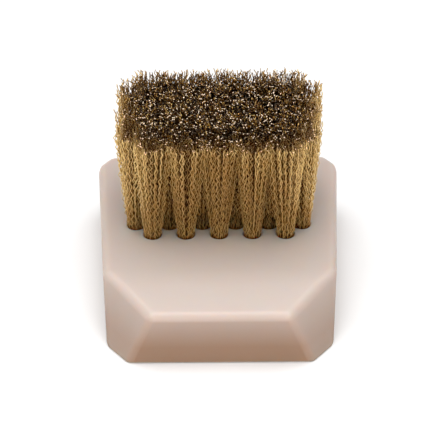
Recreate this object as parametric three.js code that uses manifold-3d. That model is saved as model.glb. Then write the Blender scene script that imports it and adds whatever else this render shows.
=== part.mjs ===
// Tip cleaning brush: tufts of crimped brass wire set in a moulded nylon block that stands on a bench.
//
// Units are millimetres. +X points right, +Y points to the back and +Z points up.
// The origin is the middle of the underside.

import * as THREE from 'three';
import { ConvexGeometry } from 'three/addons/geometries/ConvexGeometry.js';
import { mergeVertices } from 'three/addons/utils/BufferGeometryUtils.js';
import Module from 'manifold-3d';

// ---- driving dimensions -------------------------------------------------------------------------

const block = {
  depth: 40.5, // front face to back face
  backWidth: 37.0, // across the side walls at the back, at the height of the top
  frontWidth: 34.1, // the same across the front, where the side walls come closest
  height: 9.7, // underside to the flat that carries the tufts
  frontHeight: 8.6, // underside to the top of the front face
  ledgeDepth: 8.4, // the sloping ledge ahead of the flat
  sideDraft: 2.0, // degrees: the side walls draw in towards the underside
  edgeRadius: 0.9, // rounding of every outer edge
};

// A slanted facet takes off each front corner. It is measured along the edges that it cuts.
const frontCorner = {
  alongBottomFront: 3.1,
  alongBottomSide: 4.2,
  alongTopFront: 6.7,
};

// An upright facet takes off each back corner.
const backCorner = {
  alongBack: 2.0,
  alongSide: 2.7,
};

// The tufts stand in staggered rows: short rows and long rows by turns, half a pitch apart.
const field = {
  pitch: 5.0, // tuft to tuft along a row
  rowSpacing: 2.5, // row to row
  firstRowSetback: 19.35, // front face to the first row
  rows: 7,
  tuftsInShortRow: 5, // the first, third, fifth and last row
  tuftsInLongRow: 6, // the rows between them
};

const hole = {
  diameter: 2.8,
  depth: 6.5,
};

const tuft = {
  rootDiameter: 2.4, // the folded wires inside the hole
  height: 18.0, // the flat of the block to the wire tips
  spreadDiameter: 6.2, // how far the tips fan out where no neighbour holds them in
  gap: 0.3, // left between the outlines of neighbouring tufts, and under the root
};

const sides = {
  hole: 16, // flats round a hole
  tuft: 16, // flats round a tuft
  edgeBall: 8, // flats round the ball that rounds a corner
};

// ---- materials ----------------------------------------------------------------------------------

const nylon = new THREE.MeshStandardMaterial({ color: 0xd6c6b8, roughness: 0.45, metalness: 0.0 });
const brassWire = new THREE.MeshStandardMaterial({ color: 0xb08d4c, roughness: 0.35, metalness: 1.0 });

// ---- cutting with manifold-3d -------------------------------------------------------------------

const wasm = await Module();
wasm.setup();

// A closed three.js geometry as a solid.
function toSolid(geometry) {
  const bare = geometry.index ? geometry.toNonIndexed() : geometry.clone();
  bare.deleteAttribute('normal');
  bare.deleteAttribute('uv');
  const merged = mergeVertices(bare);
  return new wasm.Manifold(new wasm.Mesh({
    numProp: 3,
    vertProperties: new Float32Array(merged.attributes.position.array),
    triVerts: new Uint32Array(merged.index.array),
  }));
}

// A solid as a three.js geometry.
function toGeometry(solid) {
  const mesh = solid.getMesh();
  const geometry = new THREE.BufferGeometry();
  geometry.setAttribute('position', new THREE.BufferAttribute(mesh.vertProperties, 3));
  geometry.setIndex(new THREE.BufferAttribute(mesh.triVerts, 1));
  geometry.computeVertexNormals();
  return geometry;
}

// ---- block --------------------------------------------------------------------------------------

const frontY = -block.depth / 2;
const backY = block.depth / 2;
const shoulderY = frontY + block.ledgeDepth;

// Half the block's width at a depth and a height: the side walls taper in plan and have a draft.
function halfWidth(y, z) {
  const taper = (block.backWidth - block.frontWidth) / 2 / block.depth;
  const draft = Math.tan(THREE.MathUtils.degToRad(block.sideDraft));
  return block.backWidth / 2 - taper * (backY - y) - draft * (block.height - z);
}

// The plane through three points, facing away from the middle of the block.
function outerPlane(a, b, c) {
  const plane = new THREE.Plane().setFromCoplanarPoints(a, b, c);
  const middle = new THREE.Vector3(0, 0, block.height / 2);
  return plane.distanceToPoint(middle) > 0 ? plane.negate() : plane;
}

// The flat faces on one side of the block; side is +1 on the right and -1 on the left.
function sidePlanes(side) {
  const onWall = (y, z) => new THREE.Vector3(side * halfWidth(y, z), y, z);
  const wall = outerPlane(onWall(backY, 0), onWall(frontY, 0), onWall(backY, block.height));

  const bottomSide = onWall(frontY + frontCorner.alongBottomSide, 0);
  const bottomFront = new THREE.Vector3(
    side * (Math.abs(bottomSide.x) - frontCorner.alongBottomFront), frontY, 0);
  const topFront = new THREE.Vector3(
    side * (halfWidth(frontY, block.frontHeight) - frontCorner.alongTopFront), frontY, block.frontHeight);
  const frontFacet = outerPlane(bottomSide, bottomFront, topFront);

  const backEnd = new THREE.Vector3(side * (block.backWidth / 2 - backCorner.alongBack), backY, 0);
  const backTop = backEnd.clone().setZ(block.height);
  const sideEnd = new THREE.Vector3(side * block.backWidth / 2, backY - backCorner.alongSide, 0);
  const backFacet = outerPlane(backEnd, backTop, sideEnd);
  return [wall, frontFacet, backFacet];
}

// Every flat face of the block as a plane that faces out.
function blockPlanes() {
  const underside = new THREE.Plane(new THREE.Vector3(0, 0, -1), 0);
  const flat = new THREE.Plane(new THREE.Vector3(0, 0, 1), -block.height);
  const front = new THREE.Plane(new THREE.Vector3(0, -1, 0), frontY);
  const back = new THREE.Plane(new THREE.Vector3(0, 1, 0), -backY);
  const ledge = outerPlane(
    new THREE.Vector3(0, shoulderY, block.height),
    new THREE.Vector3(1, shoulderY, block.height),
    new THREE.Vector3(0, frontY, block.frontHeight),
  );
  return [underside, flat, front, back, ledge, ...sidePlanes(1), ...sidePlanes(-1)];
}

// The point where three planes meet, or null where they are too nearly parallel.
function meetingPoint(a, b, c) {
  const normals = new THREE.Matrix3().set(
    a.normal.x, a.normal.y, a.normal.z,
    b.normal.x, b.normal.y, b.normal.z,
    c.normal.x, c.normal.y, c.normal.z,
  );
  const nearlyParallel = 1e-3;
  if (Math.abs(normals.determinant()) < nearlyParallel) return null;
  return new THREE.Vector3(-a.constant, -b.constant, -c.constant).applyMatrix3(normals.invert());
}

// The corners of the convex solid that the planes bound.
function cornersOf(planes) {
  const corners = [];
  const tolerance = 1e-6;
  for (let i = 0; i < planes.length; i += 1) {
    for (let j = i + 1; j < planes.length; j += 1) {
      for (let k = j + 1; k < planes.length; k += 1) {
        const point = meetingPoint(planes[i], planes[j], planes[k]);
        if (point && planes.every((plane) => plane.distanceToPoint(point) < tolerance)) {
          corners.push(point);
        }
      }
    }
  }
  return corners;
}

// The block before drilling: the hull of a small ball in every corner, so that all edges are round.
function roundedBlock() {
  const insetPlanes = blockPlanes().map(
    (plane) => new THREE.Plane(plane.normal, plane.constant + block.edgeRadius));
  const ball = new THREE.SphereGeometry(block.edgeRadius, sides.edgeBall, sides.edgeBall / 2 + 2);
  ball.rotateX(Math.PI / 2);
  const ballPoints = mergeVertices(ball.deleteAttribute('normal').deleteAttribute('uv')).attributes.position;
  const points = [];
  for (const corner of cornersOf(insetPlanes)) {
    for (let i = 0; i < ballPoints.count; i += 1) {
      points.push(new THREE.Vector3().fromBufferAttribute(ballPoints, i).add(corner));
    }
  }
  return new ConvexGeometry(points);
}

// ---- tuft field ---------------------------------------------------------------------------------

// Where each tuft stands, with the name of its node.
function tuftSites() {
  const sites = [];
  for (let row = 0; row < field.rows; row += 1) {
    const count = row % 2 === 0 ? field.tuftsInShortRow : field.tuftsInLongRow;
    for (let place = 0; place < count; place += 1) {
      sites.push({
        name: `tuft_row${row + 1}_${place + 1}`,
        x: (place - (count - 1) / 2) * field.pitch,
        y: frontY + field.firstRowSetback + row * field.rowSpacing,
      });
    }
  }
  return sites;
}

// The block with a blind hole for each tuft.
function drilledBlock(sites) {
  const mouthClearance = 1;
  let solid = toSolid(roundedBlock());
  const length = hole.depth + mouthClearance;
  const drill = new THREE.CylinderGeometry(hole.diameter / 2, hole.diameter / 2, length, sides.hole);
  drill.rotateX(Math.PI / 2);
  for (const site of sites) {
    const cut = drill.clone().translate(site.x, site.y, block.height - hole.depth + length / 2);
    solid = solid.subtract(toSolid(cut));
  }
  return toGeometry(solid);
}

// How far a tuft's tips reach in one direction: to the free spread, or to where they meet a neighbour.
function reach(angle, neighbours) {
  let limit = tuft.spreadDiameter / 2;
  for (const offset of neighbours) {
    const towards = Math.cos(angle - Math.atan2(offset.y, offset.x));
    const share = (Math.hypot(offset.x, offset.y) - tuft.gap) / 2;
    if (towards * limit > share) limit = share / towards;
  }
  return limit;
}

// A tuft as one closed body: a straight root in its hole, then a fan that fills the tuft's own cell.
function tuftGeometry(site, sites) {
  const nearby = 1.5 * field.pitch;
  const neighbours = sites
    .filter((other) => other !== site)
    .map((other) => ({ x: other.x - site.x, y: other.y - site.y }))
    .filter((offset) => Math.hypot(offset.x, offset.y) < nearby);

  const rootRadius = tuft.rootDiameter / 2;
  const rootDepth = hole.depth - tuft.gap;
  const profile = [
    new THREE.Vector2(0, -rootDepth),
    new THREE.Vector2(rootRadius, -rootDepth),
    new THREE.Vector2(rootRadius, 0),
    new THREE.Vector2(rootRadius, tuft.height),
    new THREE.Vector2(0, tuft.height),
  ];
  const geometry = new THREE.LatheGeometry(profile, sides.tuft);
  geometry.rotateX(Math.PI / 2);

  const position = geometry.attributes.position;
  for (let i = 0; i < position.count; i += 1) {
    const x = position.getX(i);
    const y = position.getY(i);
    const isTipRim = position.getZ(i) > tuft.height / 2 && Math.hypot(x, y) > rootRadius / 2;
    if (isTipRim) {
      const spread = reach(Math.atan2(y, x), neighbours) / rootRadius;
      position.setXY(i, x * spread, y * spread);
    }
  }
  geometry.computeVertexNormals();
  return geometry;
}

// ---- assembly -----------------------------------------------------------------------------------

function namedMesh(name, geometry, material) {
  const mesh = new THREE.Mesh(geometry, material);
  mesh.name = name;
  return mesh;
}

function tipCleaningBrush() {
  const brush = new THREE.Group();
  const sites = tuftSites();
  brush.add(namedMesh('block', drilledBlock(sites), nylon));

  const brushField = new THREE.Group();
  brushField.position.z = block.height;
  for (const site of sites) {
    const mesh = namedMesh(site.name, tuftGeometry(site, sites), brassWire);
    mesh.position.set(site.x, site.y, 0);
    brushField.add(mesh);
  }
  brush.add(brushField);
  return brush;
}

export default tipCleaningBrush();
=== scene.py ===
"""Tip cleaning brush: the looks of a small bench brush for soldering tips.

Tufts of crimped brass wire stand in a moulded nylon block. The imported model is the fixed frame: every
place and every overall size comes from it. Lengths are metres, written as millimetres times MM.
"""

import itertools
import logging
import math
import random
from dataclasses import dataclass
from enum import Enum
from typing import Any, ClassVar

import bmesh
import bpy
from mathutils import Matrix, Vector


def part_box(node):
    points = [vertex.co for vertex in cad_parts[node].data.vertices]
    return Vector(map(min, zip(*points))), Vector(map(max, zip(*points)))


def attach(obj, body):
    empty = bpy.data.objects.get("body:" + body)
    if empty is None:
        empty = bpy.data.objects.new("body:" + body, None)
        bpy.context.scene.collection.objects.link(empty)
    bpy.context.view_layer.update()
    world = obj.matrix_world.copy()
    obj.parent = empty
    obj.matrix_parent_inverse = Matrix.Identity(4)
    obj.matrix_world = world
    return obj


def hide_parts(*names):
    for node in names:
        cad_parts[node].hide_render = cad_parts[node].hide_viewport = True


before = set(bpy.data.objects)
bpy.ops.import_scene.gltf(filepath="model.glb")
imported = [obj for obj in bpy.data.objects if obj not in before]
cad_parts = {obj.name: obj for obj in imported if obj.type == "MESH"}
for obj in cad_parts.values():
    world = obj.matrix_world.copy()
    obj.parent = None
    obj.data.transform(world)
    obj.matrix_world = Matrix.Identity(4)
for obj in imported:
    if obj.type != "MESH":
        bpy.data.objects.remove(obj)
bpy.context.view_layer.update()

Colour = tuple[float, float, float, float]
Place = tuple[float, float, float]

MM = 0.001
BODY = "root"
log = logging.getLogger("tip_cleaning_brush")


def millimetres(x: float, y: float, z: float) -> Vector:
    """Returns a place that is given in millimetres."""
    return Vector((x, y, z)) * MM


class Slot(Enum):
    """The material slots of the finishes."""

    NYLON = "block_nylon"
    BRASS = "brass_wire"


# ---- node trees ---------------------------------------------------------------------------------


class Field:
    """One output of a node tree. Python's operators on it add Math nodes."""

    def __init__(self, nodes: "Nodes", socket: bpy.types.NodeSocket | None) -> None:
        """Wraps a socket.

        Args:
            nodes: The tree that the socket is in.
            socket: The output socket, or None for a node that has no output.
        """
        self.nodes = nodes
        self.socket = socket

    def __add__(self, other: "Field | float") -> "Field":
        """Returns self + other."""
        return self.nodes.math("ADD", self, other)

    __radd__ = __add__

    def __mul__(self, other: "Field | float") -> "Field":
        """Returns self * other."""
        return self.nodes.math("MULTIPLY", self, other)

    __rmul__ = __mul__

    def __sub__(self, other: "Field | float") -> "Field":
        """Returns self - other."""
        return self.nodes.math("SUBTRACT", self, other)

    def __rsub__(self, other: "Field | float") -> "Field":
        """Returns other - self."""
        return self.nodes.math("SUBTRACT", other, self)

    def __truediv__(self, other: "Field | float") -> "Field":
        """Returns self / other."""
        return self.nodes.math("DIVIDE", self, other)

    def __pow__(self, other: "Field | float") -> "Field":
        """Returns self ** other."""
        return self.nodes.math("POWER", self, other)

    def __mod__(self, other: "Field | float") -> "Field":
        """Returns self % other."""
        return self.nodes.math("MODULO", self, other)

    def __gt__(self, other: "Field | float") -> "Field":
        """Returns 1 where self > other, and 0 elsewhere."""
        return self.nodes.math("GREATER_THAN", self, other)

    def __lt__(self, other: "Field | float") -> "Field":
        """Returns 1 where self < other, and 0 elsewhere."""
        return self.nodes.math("LESS_THAN", self, other)

    def __abs__(self) -> "Field":
        """Returns the size of self."""
        return self.nodes.math("ABSOLUTE", self)


class Nodes:
    """Writes the nodes of one shader or geometry tree."""

    def __init__(self, tree: bpy.types.NodeTree) -> None:
        """Empties the tree.

        Args:
            tree: The tree to write.
        """
        self.tree = tree
        tree.nodes.clear()

    def node(
        self,
        kind: str,
        settings: dict[str, Any] | None = None,
        inputs: dict[str | int, Any] | None = None,
        output: str | int = 0,
    ) -> Field:
        """Adds a node of any kind.

        Args:
            kind: The node's type.
            settings: Its own settings, set first.
            inputs: What its sockets hold, by name, identifier or number.
            output: The output to return, by name, identifier or number.

        Returns:
            That output.
        """
        node = self.tree.nodes.new(kind)
        for name, value in (settings or {}).items():
            setattr(node, name, value)
        for key, value in (inputs or {}).items():
            self.feed(self.find(node.inputs, key), value)
        return Field(self, self.find(node.outputs, output) if node.outputs else None)

    @staticmethod
    def find(sockets: Any, key: str | int) -> bpy.types.NodeSocket:
        """Finds a socket.

        Args:
            sockets: A node's inputs or outputs.
            key: The socket's identifier, name or number.

        Returns:
            The socket.
        """
        if isinstance(key, int):
            return sockets[key]
        by_identifier = [socket for socket in sockets if socket.identifier == key]
        return by_identifier[0] if by_identifier else sockets[key]

    def feed(self, socket: bpy.types.NodeSocket, value: Any) -> None:
        """Links a field to a socket, or sets the socket's own value.

        Args:
            socket: The input socket.
            value: A Field, or what the socket itself should hold.
        """
        if isinstance(value, Field):
            self.tree.links.new(value.socket, socket)
        else:
            socket.default_value = value

    def math(self, operation: str, *values: "Field | float") -> Field:
        """Adds a Math node.

        Args:
            operation: What it works out.
            *values: Its one or two values.

        Returns:
            The result.
        """
        return self.node("ShaderNodeMath", {"operation": operation}, dict(enumerate(values)))

    def vector(self, x: "Field | float", y: "Field | float", z: "Field | float") -> Field:
        """Returns the vector (x, y, z)."""
        return self.node("ShaderNodeCombineXYZ", None, {"X": x, "Y": y, "Z": z})

    def parts(self, vector: Field) -> tuple[Field, Field, Field]:
        """Returns a vector's x, y and z."""
        x = self.node("ShaderNodeSeparateXYZ", None, {"Vector": vector})
        outputs = x.socket.node.outputs
        return x, Field(self, outputs["Y"]), Field(self, outputs["Z"])

    def blend(self, factor: "Field | float", low: Any, high: Any) -> Field:
        """Mixes two colours.

        Args:
            factor: 0 for the first colour, 1 for the second.
            low: The first colour.
            high: The second colour.

        Returns:
            The mixed colour.
        """
        sockets = {"Factor_Float": factor, "A_Color": low, "B_Color": high}
        return self.node("ShaderNodeMix", {"data_type": "RGBA"}, sockets, "Result_Color")


class GeometryNodes(Nodes):
    """A geometry node tree with named inputs, used as a modifier."""

    def __init__(self, name: str, inputs: dict[str, tuple[str, Any]]) -> None:
        """Makes the tree and its interface.

        Args:
            name: The tree's name.
            inputs: Each input's socket type and default value, by name.
        """
        super().__init__(bpy.data.node_groups.new(name, "GeometryNodeTree"))
        interface = self.tree.interface
        interface.new_socket("Geometry", in_out="INPUT", socket_type="NodeSocketGeometry")
        interface.new_socket("Geometry", in_out="OUTPUT", socket_type="NodeSocketGeometry")
        for label, (kind, value) in inputs.items():
            socket = interface.new_socket(label, in_out="INPUT", socket_type=kind)
            if value is not None:
                socket.default_value = value
        self.entry = self.tree.nodes.new("NodeGroupInput")

    def given(self, label: str) -> Field:
        """Returns one of the tree's own inputs."""
        return Field(self, self.entry.outputs[label])

    def finish(self, geometry: Field) -> None:
        """Ends the tree in Realize Instances and Set Material.

        Args:
            geometry: The mesh that the tree has made.
        """
        real = self.node("GeometryNodeRealizeInstances", None, {"Geometry": geometry})
        sockets = {"Geometry": real, "Material": self.given("Material")}
        dressed = self.node("GeometryNodeSetMaterial", None, sockets)
        self.node("NodeGroupOutput", None, {"Geometry": dressed})

    def mesh(self, name: str, values: dict[str, Any], places: list[Vector] | None = None) -> bpy.types.Mesh:
        """Runs the tree once.

        Args:
            name: The mesh's name.
            values: What the tree's inputs hold this time, by name.
            places: The points that the tree is given as its geometry.

        Returns:
            The result, as a plain mesh.
        """
        start = bpy.data.meshes.new(f"{name}_places")
        start.from_pydata(places or [], [], [])
        sockets = {
            item.identifier: values[item.name]
            for item in self.tree.interface.items_tree
            if item.item_type == "SOCKET" and item.in_out == "INPUT" and item.name in values
        }
        made = modified(start, "NODES", {"node_group": self.tree}, sockets)
        made.name = name
        made.materials.clear()
        made.materials.append(values["Material"])
        return made


def modified(
    mesh: bpy.types.Mesh,
    kind: str,
    settings: dict[str, Any],
    sockets: dict[str, Any] | None = None,
) -> bpy.types.Mesh:
    """Runs one modifier over a mesh.

    Args:
        mesh: The mesh to start from.
        kind: The modifier's type.
        settings: The modifier's own settings, by name.
        sockets: What a geometry tree's inputs hold, by identifier.

    Returns:
        The result, as a plain mesh.
    """
    carrier = bpy.data.objects.new(f"{mesh.name}_carrier", mesh)
    bpy.context.scene.collection.objects.link(carrier)
    modifier = carrier.modifiers.new(kind.lower(), kind)
    for name, value in settings.items():
        setattr(modifier, name, value)
    for identifier, value in (sockets or {}).items():
        modifier[identifier] = value
    graph = bpy.context.evaluated_depsgraph_get()
    made = bpy.data.meshes.new_from_object(
        carrier.evaluated_get(graph), preserve_all_data_layers=True, depsgraph=graph)
    carrier.modifiers.remove(modifier)
    bpy.data.objects.remove(carrier)
    return made


def add_piece(name: str, mesh: bpy.types.Mesh, slot: Slot, *stands_for: str) -> bpy.types.Object:
    """Adds a finished piece that rides on the brush.

    Args:
        name: The piece's name.
        mesh: Its mesh, already in place and dressed.
        slot: The material slot of its finish. It is not used.
        *stands_for: The CAD nodes that it takes the place of.

    Returns:
        The piece.
    """
    piece = bpy.data.objects.new(name, mesh)
    bpy.context.scene.collection.objects.link(piece)
    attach(piece, BODY)
    if stands_for:
        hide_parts(*stands_for)
    log.info("%s: %d faces", name, len(mesh.polygons))
    return piece


# ---- finishes -----------------------------------------------------------------------------------


@dataclass(frozen=True)
class NylonFinish:
    """Natural nylon with a satin mould texture: pale, warm and a little translucent, with painted shade on
    steep faces low down.

    Attributes:
        block_height: The height of the block, which the painted shade is measured against.
        pale: One surface colour.
        warm: The other surface colour. The two mix in a slight mottle.
        mottle_per_m: How fine the mottle is.
        grain_per_m: How fine the mould texture is.
        grain_height: How deep the mould texture is.
        roughness: The middle roughness.
        roughness_swing: How far the roughness follows the mottle.
        painted_foot_shade: Painted shade: the colour that steep faces go over to towards the foot of the
            block.
        steepness: How soon a face that turns from upright to level loses the painted shade.
        darkest_at: The share of the height below which steep faces have all of the painted shade.
        depth_of_light: How far red, green and blue light travel inside, as shares of scatter.
        scatter: How far light travels inside.
        refraction: The index of refraction.
    """

    block_height: float
    pale: Colour = (0.58, 0.50, 0.46, 1.0)
    warm: Colour = (0.56, 0.475, 0.425, 1.0)
    mottle_per_m: float = 160.0
    grain_per_m: float = 2600.0
    grain_height: float = 0.004 * MM
    roughness: float = 0.44
    roughness_swing: float = 0.08
    painted_foot_shade: Colour = (0.30, 0.175, 0.105, 1.0)
    steepness: float = 1.1
    darkest_at: float = 0.3
    depth_of_light: tuple[float, float, float] = (1.0, 0.60, 0.40)
    scatter: float = 3.5 * MM
    refraction: float = 1.53

    def material(self) -> bpy.types.Material:
        """Returns the material."""
        made = bpy.data.materials.new("nylon_satin")
        made.use_nodes = True
        nodes = Nodes(made.node_tree)
        place = nodes.node("ShaderNodeTexCoord", output="Object")
        mottle = nodes.node(
            "ShaderNodeTexNoise", None,
            {"Vector": place, "Scale": self.mottle_per_m, "Detail": 3.0}, "Fac")
        grain = nodes.node(
            "ShaderNodeTexNoise", None,
            {"Vector": place, "Scale": self.grain_per_m, "Detail": 2.0}, "Fac")
        bump = nodes.node(
            "ShaderNodeBump", None,
            {"Height": grain * self.grain_height, "Distance": 1.0, "Strength": 1.0}, "Normal")
        # Painted shade: steep faces darken towards the foot of the block, fully below darkest_at of its
        # height.
        height = nodes.parts(place)[2] / self.block_height
        facing_up = nodes.parts(nodes.node("ShaderNodeNewGeometry", output="Normal"))[2]
        steep = nodes.math("MAXIMUM", 1.0 - abs(facing_up) * self.steepness, 0.0)
        depth = nodes.math("MINIMUM", 1.0 + self.darkest_at - height, 1.0)
        surface = nodes.blend(mottle, self.pale, self.warm)
        shader = nodes.node("ShaderNodeBsdfPrincipled", None, {
            "Base Color": nodes.blend(depth * steep, surface, self.painted_foot_shade),
            "Roughness": self.roughness + (mottle - 0.5) * self.roughness_swing,
            "Normal": bump,
            "Subsurface Weight": 1.0,
            "Subsurface Radius": self.depth_of_light,
            "Subsurface Scale": self.scatter,
            "IOR": self.refraction,
        })
        nodes.node("ShaderNodeOutputMaterial", None, {"Surface": shader})
        return made


@dataclass(frozen=True)
class BrassFinish:
    """Drawn brass wire: each wire has its own tone, wires in a tuft's middle get painted shade, and the
    freshly cut ends are bright.

    Attributes:
        bright: The colour of clean wire.
        tarnish_and_shade_colour: The colour of the dullest wire, which also serves as the painted shade of
            a tuft's middle.
        cut: The colour of a cut end.
        blotch_per_m: How fine the blotches of tarnish are.
        blotch_depth: How much a blotch adds to the tarnish.
        roughness: The middle roughness of the drawn wire.
        roughness_swing: How far the roughness follows the blotches.
        cut_roughness: The roughness of a cut end.
        cut_facing: A face is a cut end where the upward part of its normal is more than this.
    """

    bright: Colour = (1.0, 0.73, 0.29, 1.0)
    tarnish_and_shade_colour: Colour = (0.35, 0.20, 0.085, 1.0)
    cut: Colour = (0.86, 0.68, 0.50, 1.0)
    blotch_per_m: float = 900.0
    blotch_depth: float = 0.15
    roughness: float = 0.13
    roughness_swing: float = 0.08
    cut_roughness: float = 0.25
    cut_facing: float = 0.75

    def material(self) -> bpy.types.Material:
        """Returns the material."""
        made = bpy.data.materials.new("brass_wire_drawn")
        made.use_nodes = True
        nodes = Nodes(made.node_tree)
        place = nodes.node("ShaderNodeTexCoord", output="Object")
        tone = nodes.node("ShaderNodeAttribute", {"attribute_name": CrimpedTuft.TONE}, output="Fac")
        blotch = nodes.node(
            "ShaderNodeTexNoise", None,
            {"Vector": place, "Scale": self.blotch_per_m, "Detail": 2.0}, "Fac")
        # The tone holds each wire's random tarnish plus painted shade in the middle of its tuft; blotches
        # add real tarnish.
        tarnish_and_shade = nodes.math("MINIMUM", tone + blotch * self.blotch_depth, 1.0)
        facing = nodes.parts(nodes.node("ShaderNodeNewGeometry", output="Normal"))[2]
        cut_end = facing > self.cut_facing
        drawn = nodes.blend(tarnish_and_shade, self.bright, self.tarnish_and_shade_colour)
        worn = self.roughness + (blotch - 0.5) * self.roughness_swing
        shader = nodes.node("ShaderNodeBsdfPrincipled", None, {
            "Base Color": nodes.blend(cut_end, drawn, self.cut),
            "Roughness": worn + cut_end * (self.cut_roughness - worn),
            "Metallic": 1.0,
        })
        nodes.node("ShaderNodeOutputMaterial", None, {"Surface": shader})
        return made


# ---- block --------------------------------------------------------------------------------------


class Face(Enum):
    """The flat faces of the block."""

    UNDERSIDE = "underside"
    FLAT = "flat"
    LEDGE = "ledge"
    FRONT = "front"
    BACK = "back"
    WALL = "wall"
    FRONT_FACET = "front facet"
    BACK_FACET = "back facet"


@dataclass(frozen=True)
class Plane:
    """The plane of one of the block's flat faces.

    Attributes:
        face: The face that lies in it.
        normal: Its outward unit normal.
        distance: Its distance from the origin along the normal.
    """

    face: Face
    normal: Vector
    distance: float

    def height(self, point: Vector) -> float:
        """Returns how far a point stands out of the plane."""
        return self.normal.dot(point) - self.distance


@dataclass(frozen=True)
class Block:
    """The moulded block: a flat that carries the tufts, a ledge that slopes to the front, cut corners.

    Attributes:
        INSIDE: A point inside the block, which tells a face's outer side.
        PARALLEL: The least determinant of three normals whose planes meet in a point.
        FACES_UP: A face is level where the upward part of its normal is more than this.
        low: The lowest corner of the block's box.
        high: The highest corner of the block's box.
        back_width: The width at the back, at the height of the flat, before the corners are cut.
        front_width: The same at the front.
        front_height: The height of the ledge at the front.
        ledge_depth: How far the ledge reaches back from the front.
        side_draft: How far the side walls lean outwards as they rise.
        facet_along_bottom_front: How much of the bottom front edge a front facet takes.
        facet_along_bottom_side: How much of the bottom side edge it takes.
        facet_along_top_front: How much of the top front edge it takes.
        back_facet_along_back: How much of the back's width a back facet takes.
        back_facet_along_side: How much of the side's length it takes.
        edge_round: The reach of the rounding on most edges.
        upright_round: Its reach on the front facets' upright edges.
        base_round: Its reach round the underside.
        shoulder_round: Its reach where the flat meets the ledge.
        round_steps: The faces across a rounded edge.
        hole_diameter: The width of a tuft's hole.
        hole_depth: The depth of its straight part.
        hole_lead_in: The size of the small cone at its mouth.
        drill_point: The depth of the cone at its bottom.
        hole_sides: The flat sides round it.
        same_corner: Two places nearer than this are one corner.
        sharp_angle: Faces that meet at more than this angle have a sharp edge between them.
        flat_face_weight: How strongly large faces keep the shading flat, up to 100.
    """

    INSIDE: ClassVar[Vector] = millimetres(0.0, 0.0, 4.0)
    PARALLEL: ClassVar[float] = 1e-4
    FACES_UP: ClassVar[float] = 0.9999

    low: Vector
    high: Vector
    back_width: float = 37.0 * MM
    front_width: float = 34.1 * MM
    front_height: float = 8.6 * MM
    ledge_depth: float = 8.4 * MM
    side_draft: float = math.radians(2.0)
    facet_along_bottom_front: float = 3.1 * MM
    facet_along_bottom_side: float = 4.2 * MM
    facet_along_top_front: float = 6.7 * MM
    back_facet_along_back: float = 2.0 * MM
    back_facet_along_side: float = 2.7 * MM
    edge_round: float = 1.15 * MM
    upright_round: float = 0.85 * MM
    base_round: float = 0.3 * MM
    shoulder_round: float = 1.7 * MM
    round_steps: int = 6
    hole_diameter: float = 2.8 * MM
    hole_depth: float = 6.5 * MM
    hole_lead_in: float = 0.08 * MM
    drill_point: float = 0.4 * MM
    hole_sides: int = 32
    same_corner: float = 0.02 * MM
    sharp_angle: float = math.radians(35.0)
    flat_face_weight: int = 100

    @property
    def top(self) -> float:
        """The height of the flat."""
        return self.high.z

    def half_width(self, y: float, z: float) -> float:
        """Half the width between the side walls.

        Args:
            y: The place from front to back.
            z: The height.

        Returns:
            The distance from the middle to either wall.
        """
        taper = (self.back_width - self.front_width) / 2 / (self.high.y - self.low.y)
        draft = math.tan(self.side_draft)
        return self.back_width / 2 - taper * (self.high.y - y) - draft * (self.top - z)

    @classmethod
    def plane(cls, face: Face, *points: Vector) -> Plane:
        """The plane through three points.

        Args:
            face: The face that lies in it.
            *points: Three points of the face. The middle of the block is on its inner side.

        Returns:
            The plane, facing outwards.
        """
        a, b, c = points
        normal = (b - a).cross(c - a).normalized()
        if normal.dot(a - cls.INSIDE) < 0:
            normal.negate()
        return Plane(face, normal, normal.dot(a))

    def side_planes(self, side: int) -> list[Plane]:
        """The faces on one side.

        Args:
            side: 1 for the right side and -1 for the left.

        Returns:
            The planes of the wall, the front facet and the back facet.
        """
        front, back, top = self.low.y, self.high.y, self.top

        def on_wall(y: float, z: float) -> Vector:
            """Returns the wall's point at y and z."""
            return Vector((side * self.half_width(y, z), y, z))

        side_end = on_wall(front + self.facet_along_bottom_side, 0.0)
        front_end = Vector((side * (abs(side_end.x) - self.facet_along_bottom_front), front, 0.0))
        top_x = self.half_width(front, self.front_height) - self.facet_along_top_front
        top_end = Vector((side * top_x, front, self.front_height))

        back_x = side * (self.back_width / 2 - self.back_facet_along_back)
        back_low = Vector((back_x, back, 0.0))
        back_high = Vector((back_x, back, top))
        wall_end = Vector((side * self.back_width / 2, back - self.back_facet_along_side, 0.0))
        return [
            self.plane(Face.WALL, on_wall(back, 0.0), on_wall(front, 0.0), on_wall(back, top)),
            self.plane(Face.FRONT_FACET, side_end, front_end, top_end),
            self.plane(Face.BACK_FACET, back_low, back_high, wall_end),
        ]

    def planes(self) -> list[Plane]:
        """Returns the planes of every face."""
        shoulder = self.low.y + self.ledge_depth
        return [
            Plane(Face.UNDERSIDE, Vector((0.0, 0.0, -1.0)), -self.low.z),
            Plane(Face.FLAT, Vector((0.0, 0.0, 1.0)), self.top),
            Plane(Face.FRONT, Vector((0.0, -1.0, 0.0)), -self.low.y),
            Plane(Face.BACK, Vector((0.0, 1.0, 0.0)), self.high.y),
            self.plane(
                Face.LEDGE,
                Vector((0.0, shoulder, self.top)),
                Vector((1.0, shoulder, self.top)),
                Vector((0.0, self.low.y, self.front_height)),
            ),
            *self.side_planes(1),
            *self.side_planes(-1),
        ]

    def corners(self) -> list[tuple[Vector, set[int]]]:
        """Where three faces meet.

        Returns:
            Each corner of the block before rounding, with the numbers of the faces that meet there.
        """
        planes = self.planes()
        near = self.same_corner
        found: list[tuple[Vector, set[int]]] = []
        for trio in itertools.combinations(planes, 3):
            normals = Matrix([plane.normal for plane in trio])
            if abs(normals.determinant()) < self.PARALLEL:
                continue
            point = normals.inverted() @ Vector([plane.distance for plane in trio])
            heights = [plane.height(point) for plane in planes]
            if max(heights) < near and all((point - other).length > near for other, _ in found):
                found.append((point, {i for i, height in enumerate(heights) if height > -near}))
        return found

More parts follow.
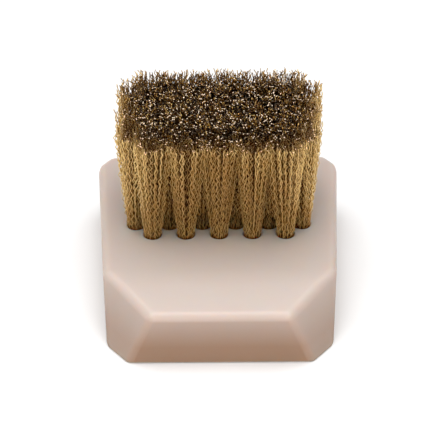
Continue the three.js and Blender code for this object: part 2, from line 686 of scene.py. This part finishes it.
    def rounding(self, faces: set[Face]) -> float:
        """How far an edge's rounding reaches on either side.

        Args:
            faces: The two faces that meet at the edge.

        Returns:
            The reach.
        """
        if Face.UNDERSIDE in faces:
            return self.base_round
        if faces in ({Face.FRONT, Face.FRONT_FACET}, {Face.WALL, Face.FRONT_FACET}):
            return self.upright_round
        if faces == {Face.FLAT, Face.LEDGE}:
            return self.shoulder_round
        return self.edge_round

    @staticmethod
    def in_turn(points: list[Vector], normal: Vector) -> list[int]:
        """Puts a face's corners in order round it.

        Args:
            points: The corners.
            normal: The face's outward normal.

        Returns:
            The corners' numbers, in order round the normal.
        """
        middle = sum(points, Vector()) / len(points)
        across = normal.orthogonal().normalized()
        along = normal.cross(across)

        def turn(number: int) -> float:
            """Returns a corner's angle round the normal."""
            arm = points[number] - middle
            return math.atan2(arm.dot(along), arm.dot(across))

        return sorted(range(len(points)), key=turn)

    def rounded_solid(self) -> bpy.types.Mesh:
        """Returns the block before drilling, with every edge rounded."""
        planes = self.planes()
        corners = self.corners()
        shape = bmesh.new()
        vertices = [shape.verts.new(point) for point, _ in corners]
        for number, plane in enumerate(planes):
            ring = [i for i, (_, meets) in enumerate(corners) if number in meets]
            order = self.in_turn([corners[i][0] for i in ring], plane.normal)
            shape.faces.new([vertices[ring[place]] for place in order])
        shape.verts.index_update()
        weight = shape.edges.layers.float.new("bevel_weight_edge")
        widest = self.shoulder_round
        for edge in shape.edges:
            first, second = (corners[vertex.index][1] for vertex in edge.verts)
            edge[weight] = self.rounding({planes[i].face for i in first & second}) / widest
        mesh = bpy.data.meshes.new("block_sharp")
        shape.to_mesh(mesh)
        shape.free()
        return modified(
            mesh, "BEVEL", {"limit_method": "WEIGHT", "width": widest, "segments": self.round_steps})

    def drill(self, shape: bmesh.types.BMesh, centres: list[Vector]) -> None:
        """Cuts a blind hole with a small lead-in at each centre.

        Args:
            shape: The block, changed in place.
            centres: The middle of each hole's mouth.
        """
        level = [face for face in shape.faces if face.normal.z > self.FACES_UP]
        flat = max(level, key=lambda face: face.calc_area())
        boundary = list(flat.edges)
        shape.faces.remove(flat)
        radius = self.hole_diameter / 2
        profile = [
            (radius + self.hole_lead_in, self.top),
            (radius, self.top - self.hole_lead_in),
            (radius, self.top - self.hole_depth),
        ]
        angles = [math.tau * i / self.hole_sides for i in range(self.hole_sides)]
        for centre in centres:
            rings = [
                [
                    shape.verts.new((centre.x + r * math.cos(a), centre.y + r * math.sin(a), z))
                    for a in angles
                ]
                for r, z in profile
            ]
            for upper, lower in itertools.pairwise(rings):
                for i in range(self.hole_sides):
                    j = (i + 1) % self.hole_sides
                    shape.faces.new((upper[i], upper[j], lower[j], lower[i]))
            point = shape.verts.new((centre.x, centre.y, self.top - self.hole_depth - self.drill_point))
            for i in range(self.hole_sides):
                shape.faces.new((rings[-1][i], rings[-1][(i + 1) % self.hole_sides], point))
            mouth = rings[0]
            boundary += [shape.edges.get((mouth[i - 1], mouth[i])) for i in range(self.hole_sides)]
        bmesh.ops.triangle_fill(shape, use_beauty=True, edges=boundary, normal=(0.0, 0.0, 1.0))
        bmesh.ops.recalc_face_normals(shape, faces=shape.faces)

    def build(self, centres: list[Vector], nylon: bpy.types.Material) -> bpy.types.Object:
        """Builds the block.

        Args:
            centres: The middle of each hole's mouth.
            nylon: The block's material.

        Returns:
            The block.
        """
        shape = bmesh.new()
        shape.from_mesh(self.rounded_solid())
        shape.normal_update()
        self.drill(shape, centres)
        mesh = bpy.data.meshes.new("block_drilled")
        shape.to_mesh(mesh)
        shape.free()
        mesh.shade_smooth()
        mesh.set_sharp_from_angle(angle=self.sharp_angle)
        mesh.materials.append(nylon)
        done = modified(mesh, "WEIGHTED_NORMAL", {"keep_sharp": True, "weight": self.flat_face_weight})
        done.name = "nylon_block"
        return add_piece("nylon_block", done, Slot.NYLON, "block")


# ---- tufts --------------------------------------------------------------------------------------


@dataclass(frozen=True)
class TuftSite:
    """Where one tuft stands, and how far its tips fan out on each side.

    Attributes:
        node: The name of the CAD node that the tuft stands for.
        centre: The middle of the hole's mouth.
        right: How far the tips fan out to the right.
        left: The same to the left.
        back: The same to the back.
        front: The same to the front.
    """

    node: str
    centre: Vector
    right: float
    left: float
    back: float
    front: float


@dataclass(frozen=True)
class TuftField:
    """The tufts' places, read from the frame.

    Attributes:
        prefix: What the names of the tufts' nodes start with.
        free_right: How far tips fan out to the right where no tuft stands beyond.
        free_left: The same to the left.
        free_back: The same to the back.
        free_front: The same to the front.
        held: How far tips fan out towards a neighbour.
        same_line: Tufts whose places differ by less than this stand in one line.
        root_slice: How much of the foot of a tuft's solid is measured to find its middle.
    """

    prefix: str = "tuft_"
    free_right: float = 2.95 * MM
    free_left: float = 2.8 * MM
    free_back: float = 2.5 * MM
    free_front: float = 4.9 * MM
    held: float = 2.9 * MM
    same_line: float = 0.5 * MM
    root_slice: float = 0.1 * MM

    def centres(self) -> dict[str, Vector]:
        """Returns the middle of each hole's mouth, by the name of the tuft's node."""
        found: dict[str, Vector] = {}
        mouth_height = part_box("block")[1].z
        for name in sorted(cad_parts):
            if name.startswith(self.prefix):
                places = [vertex.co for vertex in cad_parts[name].data.vertices]
                bottom = min(place.z for place in places)
                root = [place for place in places if place.z < bottom + self.root_slice]
                low = Vector(min(place[i] for place in root) for i in range(2))
                high = Vector(max(place[i] for place in root) for i in range(2))
                middle = (low + high) / 2
                found[name] = Vector((middle.x, middle.y, mouth_height))
        return found

    def sites(self) -> list[TuftSite]:
        """Returns every tuft's site."""
        centres = self.centres()

        def spread(centre: Vector, axis: int, sign: int, free: float) -> float:
            """Returns the spread along one axis, one way."""
            beyond = any(
                (other[axis] - centre[axis]) * sign > self.same_line
                and abs(other[1 - axis] - centre[1 - axis]) < self.same_line
                for other in centres.values()
            )
            return self.held if beyond else free

        return [
            TuftSite(
                node=name,
                centre=centre,
                right=spread(centre, 0, 1, self.free_right),
                left=spread(centre, 0, -1, self.free_left),
                back=spread(centre, 1, 1, self.free_back),
                front=spread(centre, 1, -1, self.free_front),
            )
            for name, centre in centres.items()
        ]


class Draw(Enum):
    """What each random draw is for. Each leg of wire has its own number, and each bend its own depth."""

    FIRST_BEND = 0
    TRIM = 1
    FOLD_HEIGHT = 2
    REACH = 3
    TURN = 4
    STRAY = 5
    TIP_X = 6
    BOW_X = 7
    TIP_Y = 8
    BOW_Y = 9
    CRIMP_TURN = 10
    TONE = 11
    BEND_DEPTH = 12
    LAST_BEND = 13
    CRIMP_SIDE = 14
    DRIFT = 15
    SNIP_X = 22
    SNIP_Y = 24


@dataclass(frozen=True)
class CrimpedTuft:
    """A tuft of folded, crimped wires. Both ends of every wire stand up out of the hole.

    Attributes:
        TONE: The name of the attribute that carries each wire's tarnish and the painted shade of the tuft's
            middle.
        GOLDEN: The golden section, a step that spreads the legs evenly round the hole.
        POINTS_BESIDE_BENDS: A leg's points besides its counted bends: the fold, the first bend and the tip.
        DRAWS_PER_SEED: How many random seeds each tuft keeps to itself.
        folded_wires: The wires in a tuft. Each has two standing legs.
        wire_radius: Half the wire's thickness.
        root_radius: The radius of the bundle in the hole.
        root_depth: The depth of the lowest fold.
        tip_height: The height of the tips above the flat.
        trim_unevenness: How far a tip may be above or below that.
        crimp_length: The length of one wave of the crimp.
        crimp_depth: How far a bend stands out from the middle of the wave.
        crimp_unevenness: How much that varies from bend to bend, as a share.
        crimp_slant: How far a leg's wave may turn out of the plane across the brush, either way.
        crimp_drift: How much the bends of a leg may crowd towards one end, as a power.
        crimp_in_hole: The share of the crimp that is left inside the hole.
        wander: How far a tip may be from its even place. A leg may bow out by half as much.
        snip: How far a cut end may be pushed aside, which tilts it.
        flare: The power that sets how the tips fan out. The less it is, the more of them stand at the rim.
        press: The power that squares the fan, as neighbours press on it. At 1 it is round.
        stray_reach: How much further the furthest stray may wander.
        stray_rarity: The power that makes strays few.
        tip_ease: The share of the crimp that is lost at the tip.
        end_gap: How far below its tip a leg's last bend is, from least to most, in half waves.
        turn_jitter: How far a leg may be from its even place round the hole, as a share of its half.
        tone_spread: How much tarnish a leg has by chance.
        core_painted_shade: How much painted shade the middle of the tuft has, in the colour of tarnish.
        tuft_lean: How far the whole tuft may lean to a side.
        fold_gap: How far each leg is pushed to its own side of the anchor at the fold.
        fold_stack: The height over which the folds lie.
        profile_sides: The flat sides round a wire.
        lean_seed: The seed of the tufts' leans.
    """

    TONE: ClassVar[str] = "wire_tone"
    GOLDEN: ClassVar[float] = (math.sqrt(5.0) - 1.0) / 2.0
    POINTS_BESIDE_BENDS: ClassVar[float] = 3.0
    DRAWS_PER_SEED: ClassVar[float] = 32.0

    folded_wires: int = 82
    wire_radius: float = 0.07 * MM
    root_radius: float = 1.22 * MM
    root_depth: float = 5.9 * MM
    tip_height: float = 18.0 * MM
    trim_unevenness: float = 0.2 * MM
    crimp_length: float = 1.5 * MM
    crimp_depth: float = 0.15 * MM
    crimp_unevenness: float = 0.75
    crimp_slant: float = math.radians(50.0)
    crimp_drift: float = 0.32
    crimp_in_hole: float = 0.35
    wander: float = 0.5 * MM
    snip: float = 0.2 * MM
    flare: float = 0.6
    press: float = 0.75
    stray_reach: float = 0.6 * MM
    stray_rarity: float = 24.0
    tip_ease: float = 0.6
    end_gap: tuple[float, float] = (0.3, 1.2)
    turn_jitter: float = 0.04
    tone_spread: float = 0.2
    core_painted_shade: float = 1.2
    tuft_lean: float = 0.25 * MM
    fold_gap: float = 0.34 * MM
    fold_stack: float = 0.6 * MM
    profile_sides: int = 4
    lean_seed: int = 38

    def inputs(self) -> dict[str, tuple[str, Any]]:
        """Returns the tree's inputs: each one's socket type and value, by name."""
        number = "NodeSocketFloat"
        whole = "NodeSocketInt"
        return {
            "Hole Centre": ("NodeSocketVector", (0.0, 0.0, 0.0)),
            "Folded Wires": (whole, self.folded_wires),
            "Half Crimps": (whole, self.half_crimps),
            "Wire Radius": (number, self.wire_radius),
            "Root Radius": (number, self.root_radius),
            "Root Depth": (number, self.root_depth),
            "Tip Height": (number, self.tip_height),
            "Trim Unevenness": (number, self.trim_unevenness),
            "Crimp Length": (number, self.crimp_length),
            "Crimp Depth": (number, self.crimp_depth),
            "Crimp In Hole": (number, self.crimp_in_hole),
            "Crimp Unevenness": (number, self.crimp_unevenness),
            "Crimp Slant": (number, self.crimp_slant),
            "Crimp Drift": (number, self.crimp_drift),
            "Spread Right": (number, 0.0),
            "Spread Left": (number, 0.0),
            "Spread Back": (number, 0.0),
            "Spread Front": (number, 0.0),
            "Lean X": (number, 0.0),
            "Lean Y": (number, 0.0),
            "Wander": (number, self.wander),
            "Snip": (number, self.snip),
            "Flare": (number, self.flare),
            "Press": (number, self.press),
            "Stray Reach": (number, self.stray_reach),
            "Stray Rarity": (number, self.stray_rarity),
            "Tip Ease": (number, self.tip_ease),
            "Tone Spread": (number, self.tone_spread),
            "Core Painted Shade": (number, self.core_painted_shade),
            "Fold Gap": (number, self.fold_gap),
            "Fold Stack": (number, self.fold_stack),
            "Profile Sides": (whole, self.profile_sides),
            "Seed": (whole, 0),
            "Material": ("NodeSocketMaterial", None),
        }

    @property
    def half_crimps(self) -> int:
        """How many bends each standing leg has."""
        return int(self.tip_height / (self.crimp_length / 2))

    def tree(self) -> GeometryNodes:
        """Returns the geometry nodes that make one tuft."""
        nodes = GeometryNodes("crimped_tuft", self.inputs())
        give = nodes.given

        # Points run along each folded wire: up one leg, counted out from the fold, and up the other.
        leg_points = give("Half Crimps") + self.POINTS_BESIDE_BENDS
        wire_points = leg_points * 2.0
        index = nodes.node("GeometryNodeInputIndex")
        wire = nodes.math("FLOOR", (index + 0.5) / wire_points)
        along = index - wire * wire_points - leg_points + 0.5
        side = nodes.math("SIGN", along)
        step = abs(along) - 0.5
        leg = wire * 2.0 + (side + 1.0) * 0.5
        at_fold = step < 0.5
        at_tip = step > leg_points - 1.5

        def chance(draw: Draw, low: float = 0.0, high: float = 1.0, each: Field = leg) -> Field:
            """Returns a random number from low to high for each leg, or for each point."""
            seed = give("Seed") * self.DRAWS_PER_SEED + draw.value
            sockets = {"Min_001": low, "Max_001": high, "ID": each, "Seed": seed}
            return nodes.node("FunctionNodeRandomValue", {"data_type": "FLOAT"}, sockets, "Value_001")

        # Heights: the fold, then bends about half a crimp apart, then the trimmed tip.
        half_crimp = give("Crimp Length") * 0.5
        tip = give("Tip Height") + chance(Draw.TRIM, -1.0, 1.0) * give("Trim Unevenness")
        lowest = chance(Draw.FIRST_BEND, -1.0, 0.0) * half_crimp
        highest = tip - chance(Draw.LAST_BEND, *self.end_gap) * half_crimp
        drift = 1.0 + chance(Draw.DRIFT, -1.0, 1.0) * give("Crimp Drift")
        share = nodes.math("MAXIMUM", step - 1.0, 0.0) / give("Half Crimps")
        bend = lowest + (highest - lowest) * share ** drift
        fold = chance(Draw.FOLD_HEIGHT) * give("Fold Stack") - give("Root Depth")
        z = bend + at_tip * (tip - bend) + at_fold * (fold - bend)
        rise = nodes.math("MAXIMUM", z, 0.0) / give("Tip Height")

        # Places round the hole: each leg has its own half of it, so that a wire straddles its anchor.
        reach = nodes.math("SQRT", (wire + chance(Draw.REACH)) / give("Folded Wires"))
        jitter = chance(Draw.TURN, -self.turn_jitter, self.turn_jitter)
        half_turn = nodes.math("FRACT", leg * self.GOLDEN + jitter) - 0.5
        angle = half_turn * math.pi + (side < 0.0) * math.pi
        across = nodes.math("COSINE", angle)
        forth = nodes.math("SINE", angle)
        root = reach * give("Root Radius")
        rim = reach ** give("Flare")

        # Tips fan out from there, and each leg wanders a little. A few stray further.
        spread_x = give("Spread Left") + (across > 0.0) * (give("Spread Right") - give("Spread Left"))
        spread_y = give("Spread Front") + (forth > 0.0) * (give("Spread Back") - give("Spread Front"))
        stray = chance(Draw.STRAY) ** give("Stray Rarity") * give("Stray Reach")
        wander = give("Wander") + stray
        bow = nodes.math("SINE", rise * math.pi) * give("Wander")

        def path(direction: Field, spread: Field, lean: Field, draws: tuple[Draw, Draw, Draw]) -> Field:
            """Returns a leg's distance from the middle of the hole along one axis."""
            tip_draw, bow_draw, snip_draw = draws
            pressed = nodes.math("SIGN", direction) * abs(direction) ** give("Press")
            tip_place = pressed * rim * spread + lean + chance(tip_draw, -1.0, 1.0) * wander
            at_root = direction * root
            snipped = at_tip * chance(snip_draw, -1.0, 1.0) * give("Snip")
            return at_root + rise * (tip_place - at_root) + bow * chance(bow_draw, -0.5, 0.5) + snipped

        # Crimps: each leg zigzags in its own plane, less in the hole and at the tip, and not at the fold.
        crimp_turn = chance(Draw.CRIMP_TURN, -1.0, 1.0) * give("Crimp Slant")
        uneven = 1.0 + chance(Draw.BEND_DEPTH, -1.0, 1.0, index) * give("Crimp Unevenness")
        zigzag = (1.0 - (step % 2.0) * 2.0) * (1.0 - (chance(Draw.CRIMP_SIDE) > 0.5) * 2.0)
        freed = give("Crimp In Hole") + (z > 0.0) * (1.0 - give("Crimp In Hole"))
        eased = (1.0 - at_fold) * (1.0 - at_tip * give("Tip Ease"))
        crimp = zigzag * freed * uneven * give("Crimp Depth") * eased
        path_x = path(across, spread_x, give("Lean X"), (Draw.TIP_X, Draw.BOW_X, Draw.SNIP_X))
        path_y = path(forth, spread_y, give("Lean Y"), (Draw.TIP_Y, Draw.BOW_Y, Draw.SNIP_Y))
        bend_over = at_fold * give("Fold Gap") * (side - across * reach)
        x = path_x + crimp * nodes.math("COSINE", crimp_turn) + bend_over
        y = path_y + crimp * nodes.math("SINE", crimp_turn)
        place = nodes.node(
            "ShaderNodeVectorMath", {"operation": "ADD"},
            {0: give("Hole Centre"), 1: nodes.vector(x, y, z)})

        points = nodes.node(
            "GeometryNodePoints", None, {"Count": wire_points * give("Folded Wires"), "Position": place})
        # Each leg's tone: tarnish by chance, plus painted shade that grows towards the middle of the tuft.
        tone = chance(Draw.TONE) * give("Tone Spread") + (1.0 - reach) * give("Core Painted Shade")
        toned = nodes.node(
            "GeometryNodeStoreNamedAttribute", {"data_type": "FLOAT", "domain": "POINT"},
            {"Geometry": points, "Name": self.TONE, "Value": tone})
        wires = nodes.node(
            "GeometryNodePointsToCurves", None, {"Points": toned, "Curve Group ID": wire, "Weight": index})
        profile = nodes.node(
            "GeometryNodeCurvePrimitiveCircle", {"mode": "RADIUS"},
            {"Resolution": give("Profile Sides"), "Radius": give("Wire Radius")})
        drawn = nodes.node(
            "GeometryNodeCurveToMesh", None,
            {"Curve": wires, "Profile Curve": profile, "Fill Caps": True})
        smooth = nodes.node("GeometryNodeSetShadeSmooth", None, {"Geometry": drawn, "Shade Smooth": True})
        nodes.finish(smooth)
        return nodes

    def build(self, sites: list[TuftSite], brass: bpy.types.Material) -> list[bpy.types.Object]:
        """Builds every tuft.

        Args:
            sites: Where the tufts stand.
            brass: The wire's material.

        Returns:
            The tufts.
        """
        tree = self.tree()
        dice = random.Random(self.lean_seed)
        tufts = []
        for seed, site in enumerate(sites):
            mesh = tree.mesh(f"wires_{site.node}", {
                "Hole Centre": site.centre,
                "Spread Right": site.right,
                "Spread Left": site.left,
                "Spread Back": site.back,
                "Spread Front": site.front,
                "Lean X": dice.uniform(-1.0, 1.0) * self.tuft_lean,
                "Lean Y": dice.uniform(-1.0, 1.0) * self.tuft_lean,
                "Seed": seed,
                "Material": brass,
            })
            tufts.append(add_piece(f"wires_{site.node}", mesh, Slot.BRASS, site.node))
        return tufts


@dataclass(frozen=True)
class Anchors:
    """The brass strips that pin the folded wires in the bottoms of the holes.

    Attributes:
        length: The length of a strip, a little more than a hole's width, so that it bites into the wall.
        thickness: The thickness of a strip, which stands on edge.
        width: The height of a strip as it stands.
        corner: The radius of its long edges.
        depth: The depth of its middle below the flat.
        corner_steps: The faces across a long edge.
    """

    length: float = 2.9 * MM
    thickness: float = 0.35 * MM
    width: float = 1.1 * MM
    corner: float = 0.1 * MM
    depth: float = 4.7 * MM
    corner_steps: int = 3

    def tree(self) -> GeometryNodes:
        """Returns the geometry nodes that lay one strip under each place that they are given."""
        number = "NodeSocketFloat"
        nodes = GeometryNodes("anchor_strips", {
            "Length": (number, self.length),
            "Thickness": (number, self.thickness),
            "Width": (number, self.width),
            "Corner": (number, self.corner),
            "Depth": (number, self.depth),
            "Material": ("NodeSocketMaterial", None),
        })
        give = nodes.given
        middle = give("Length") * 0.5
        height = give("Depth") * -1.0
        line = nodes.node(
            "GeometryNodeCurvePrimitiveLine", {"mode": "POINTS"},
            {"Start": nodes.vector(0.0, middle * -1.0, height), "End": nodes.vector(0.0, middle, height)})
        flat = nodes.node(
            "GeometryNodeCurvePrimitiveQuadrilateral", {"mode": "RECTANGLE"},
            {"Width": give("Thickness"), "Height": give("Width")})
        rolled = nodes.node(
            "GeometryNodeFilletCurve", {"mode": "POLY"},
            {"Curve": flat, "Radius": give("Corner"), "Count": self.corner_steps})
        strip = nodes.node(
            "GeometryNodeCurveToMesh", None, {"Curve": line, "Profile Curve": rolled, "Fill Caps": True})
        strips = nodes.node(
            "GeometryNodeInstanceOnPoints", None, {"Points": give("Geometry"), "Instance": strip})
        nodes.finish(strips)
        return nodes

    def build(self, centres: list[Vector], brass: bpy.types.Material) -> bpy.types.Object:
        """Builds the strips.

        Args:
            centres: The middle of each hole's mouth.
            brass: The strips' material.

        Returns:
            The strips, as one piece.
        """
        mesh = self.tree().mesh("anchor_strips", {"Material": brass}, centres)
        return add_piece("anchor_strips", mesh, Slot.BRASS)


# ---- stage --------------------------------------------------------------------------------------


@dataclass(frozen=True)
class Softbox:
    """A square soft light.

    Attributes:
        name: Its name.
        offset: Its place, measured from the middle of the block at the height of the flat.
        side: The length of its side.
        power: Its power in watts.
    """

    name: str
    offset: Place
    side: float
    power: float


@dataclass(frozen=True)
class Studio:
    """A pale floor, soft lights and the camera.

    Attributes:
        SOFTBOXES: The lights.
        PIVOT: The point that the camera's distance is measured from.
        AIM: The point that the camera faces.
        middle: The middle of the block, at the height of the flat.
        distance: How far the camera stands from its pivot.
        elevation: How far above level it stands.
        azimuth: How far round from the front it stands, towards the left.
        lens: The focal length in millimetres.
        clip_ratio: The view is cut off this many times nearer and further than the distance.
        floor_size: The side of the floor.
        floor_gap: How far below the block the floor is.
        floor_colour: The floor's colour.
        floor_roughness: The floor's roughness.
        sky_colour: The colour of the pale surroundings.
        sky_strength: How bright they are.
    """

    SOFTBOXES: ClassVar[tuple[Softbox, ...]] = (
        Softbox("softbox_overhead", (0.0, 0.02, 0.62), 0.7, 4.85),
        Softbox("softbox_left", (-0.6, 0.0, 0.35), 0.5, 0.45),
        Softbox("softbox_front", (0.0, -0.6, 0.14), 0.5, 2.4),
    )
    PIVOT: ClassVar[Vector] = millimetres(0.0, -0.25, 8.0)
    AIM: ClassVar[Vector] = millimetres(0.46, 1.36, 10.25)

    middle: Vector
    distance: float = 600.0 * MM
    elevation: float = math.radians(35.6)
    azimuth: float = math.radians(0.63)
    lens: float = 322.5
    clip_ratio: float = 100.0
    floor_size: float = 3.0
    floor_gap: float = 0.05 * MM
    floor_colour: Colour = (0.93, 0.93, 0.93, 1.0)
    floor_roughness: float = 0.9
    sky_colour: Colour = (1.0, 1.0, 1.0, 1.0)
    sky_strength: float = 0.22

    def floor(self) -> None:
        """Adds the floor."""
        half = self.floor_size / 2
        mesh = bpy.data.meshes.new("floor")
        corners = [(-half, -half, 0.0), (half, -half, 0.0), (half, half, 0.0), (-half, half, 0.0)]
        mesh.from_pydata(corners, [], [(0, 1, 2, 3)])
        made = bpy.data.materials.new("floor_paper")
        made.use_nodes = True
        nodes = Nodes(made.node_tree)
        shader = nodes.node(
            "ShaderNodeBsdfPrincipled", None,
            {"Base Color": self.floor_colour, "Roughness": self.floor_roughness})
        nodes.node("ShaderNodeOutputMaterial", None, {"Surface": shader})
        mesh.materials.append(made)
        floor = bpy.data.objects.new("floor", mesh)
        floor.location.z = -self.floor_gap
        bpy.context.scene.collection.objects.link(floor)

    def softbox(self, box: Softbox) -> None:
        """Adds a soft light that faces the brush.

        Args:
            box: The light.
        """
        lamp = bpy.data.lights.new(box.name, "AREA")
        lamp.shape = "SQUARE"
        lamp.size = box.side
        lamp.energy = box.power
        holder = bpy.data.objects.new(box.name, lamp)
        offset = Vector(box.offset)
        holder.location = self.middle + offset
        holder.rotation_mode = "QUATERNION"
        holder.rotation_quaternion = (-offset).to_track_quat("-Z", "Y")
        bpy.context.scene.collection.objects.link(holder)

    def lights(self) -> None:
        """Adds the soft lights and the pale surroundings."""
        for box in self.SOFTBOXES:
            self.softbox(box)
        world = bpy.data.worlds.new("pale_surroundings")
        world.use_nodes = True
        nodes = Nodes(world.node_tree)
        glow = nodes.node(
            "ShaderNodeBackground", None, {"Color": self.sky_colour, "Strength": self.sky_strength})
        nodes.node("ShaderNodeOutputWorld", None, {"Surface": glow})
        bpy.context.scene.world = world
        bpy.context.scene.view_settings.view_transform = "Standard"

    def camera(self) -> None:
        """Adds the camera."""
        towards = Vector((
            math.sin(self.azimuth) * math.cos(self.elevation),
            math.cos(self.azimuth) * math.cos(self.elevation),
            -math.sin(self.elevation),
        ))
        lens = bpy.data.cameras.new("camera")
        lens.lens = self.lens
        lens.clip_start = self.distance / self.clip_ratio
        lens.clip_end = self.distance * self.clip_ratio
        holder = bpy.data.objects.new("camera", lens)
        holder.location = self.PIVOT - towards * self.distance
        holder.rotation_mode = "QUATERNION"
        holder.rotation_quaternion = (self.AIM - holder.location).to_track_quat("-Z", "Y")
        bpy.context.scene.collection.objects.link(holder)
        bpy.context.scene.camera = holder

    def build(self) -> None:
        """Builds the whole studio."""
        self.floor()
        self.lights()
        self.camera()


def main() -> None:
    """Builds the brush and its stage."""
    logging.basicConfig(level=logging.INFO, format="%(name)s: %(message)s")
    sites = TuftField().sites()
    centres = [site.centre for site in sites]
    block_low, block_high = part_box("block")
    nylon = NylonFinish(block_height=block_high.z).material()
    brass = BrassFinish().material()
    Block(low=block_low, high=block_high).build(centres, nylon)
    CrimpedTuft().build(sites, brass)
    Anchors().build(centres, brass)
    Studio(middle=Vector((0.0, 0.0, block_high.z))).build()


if __name__ == "__main__":
    main()
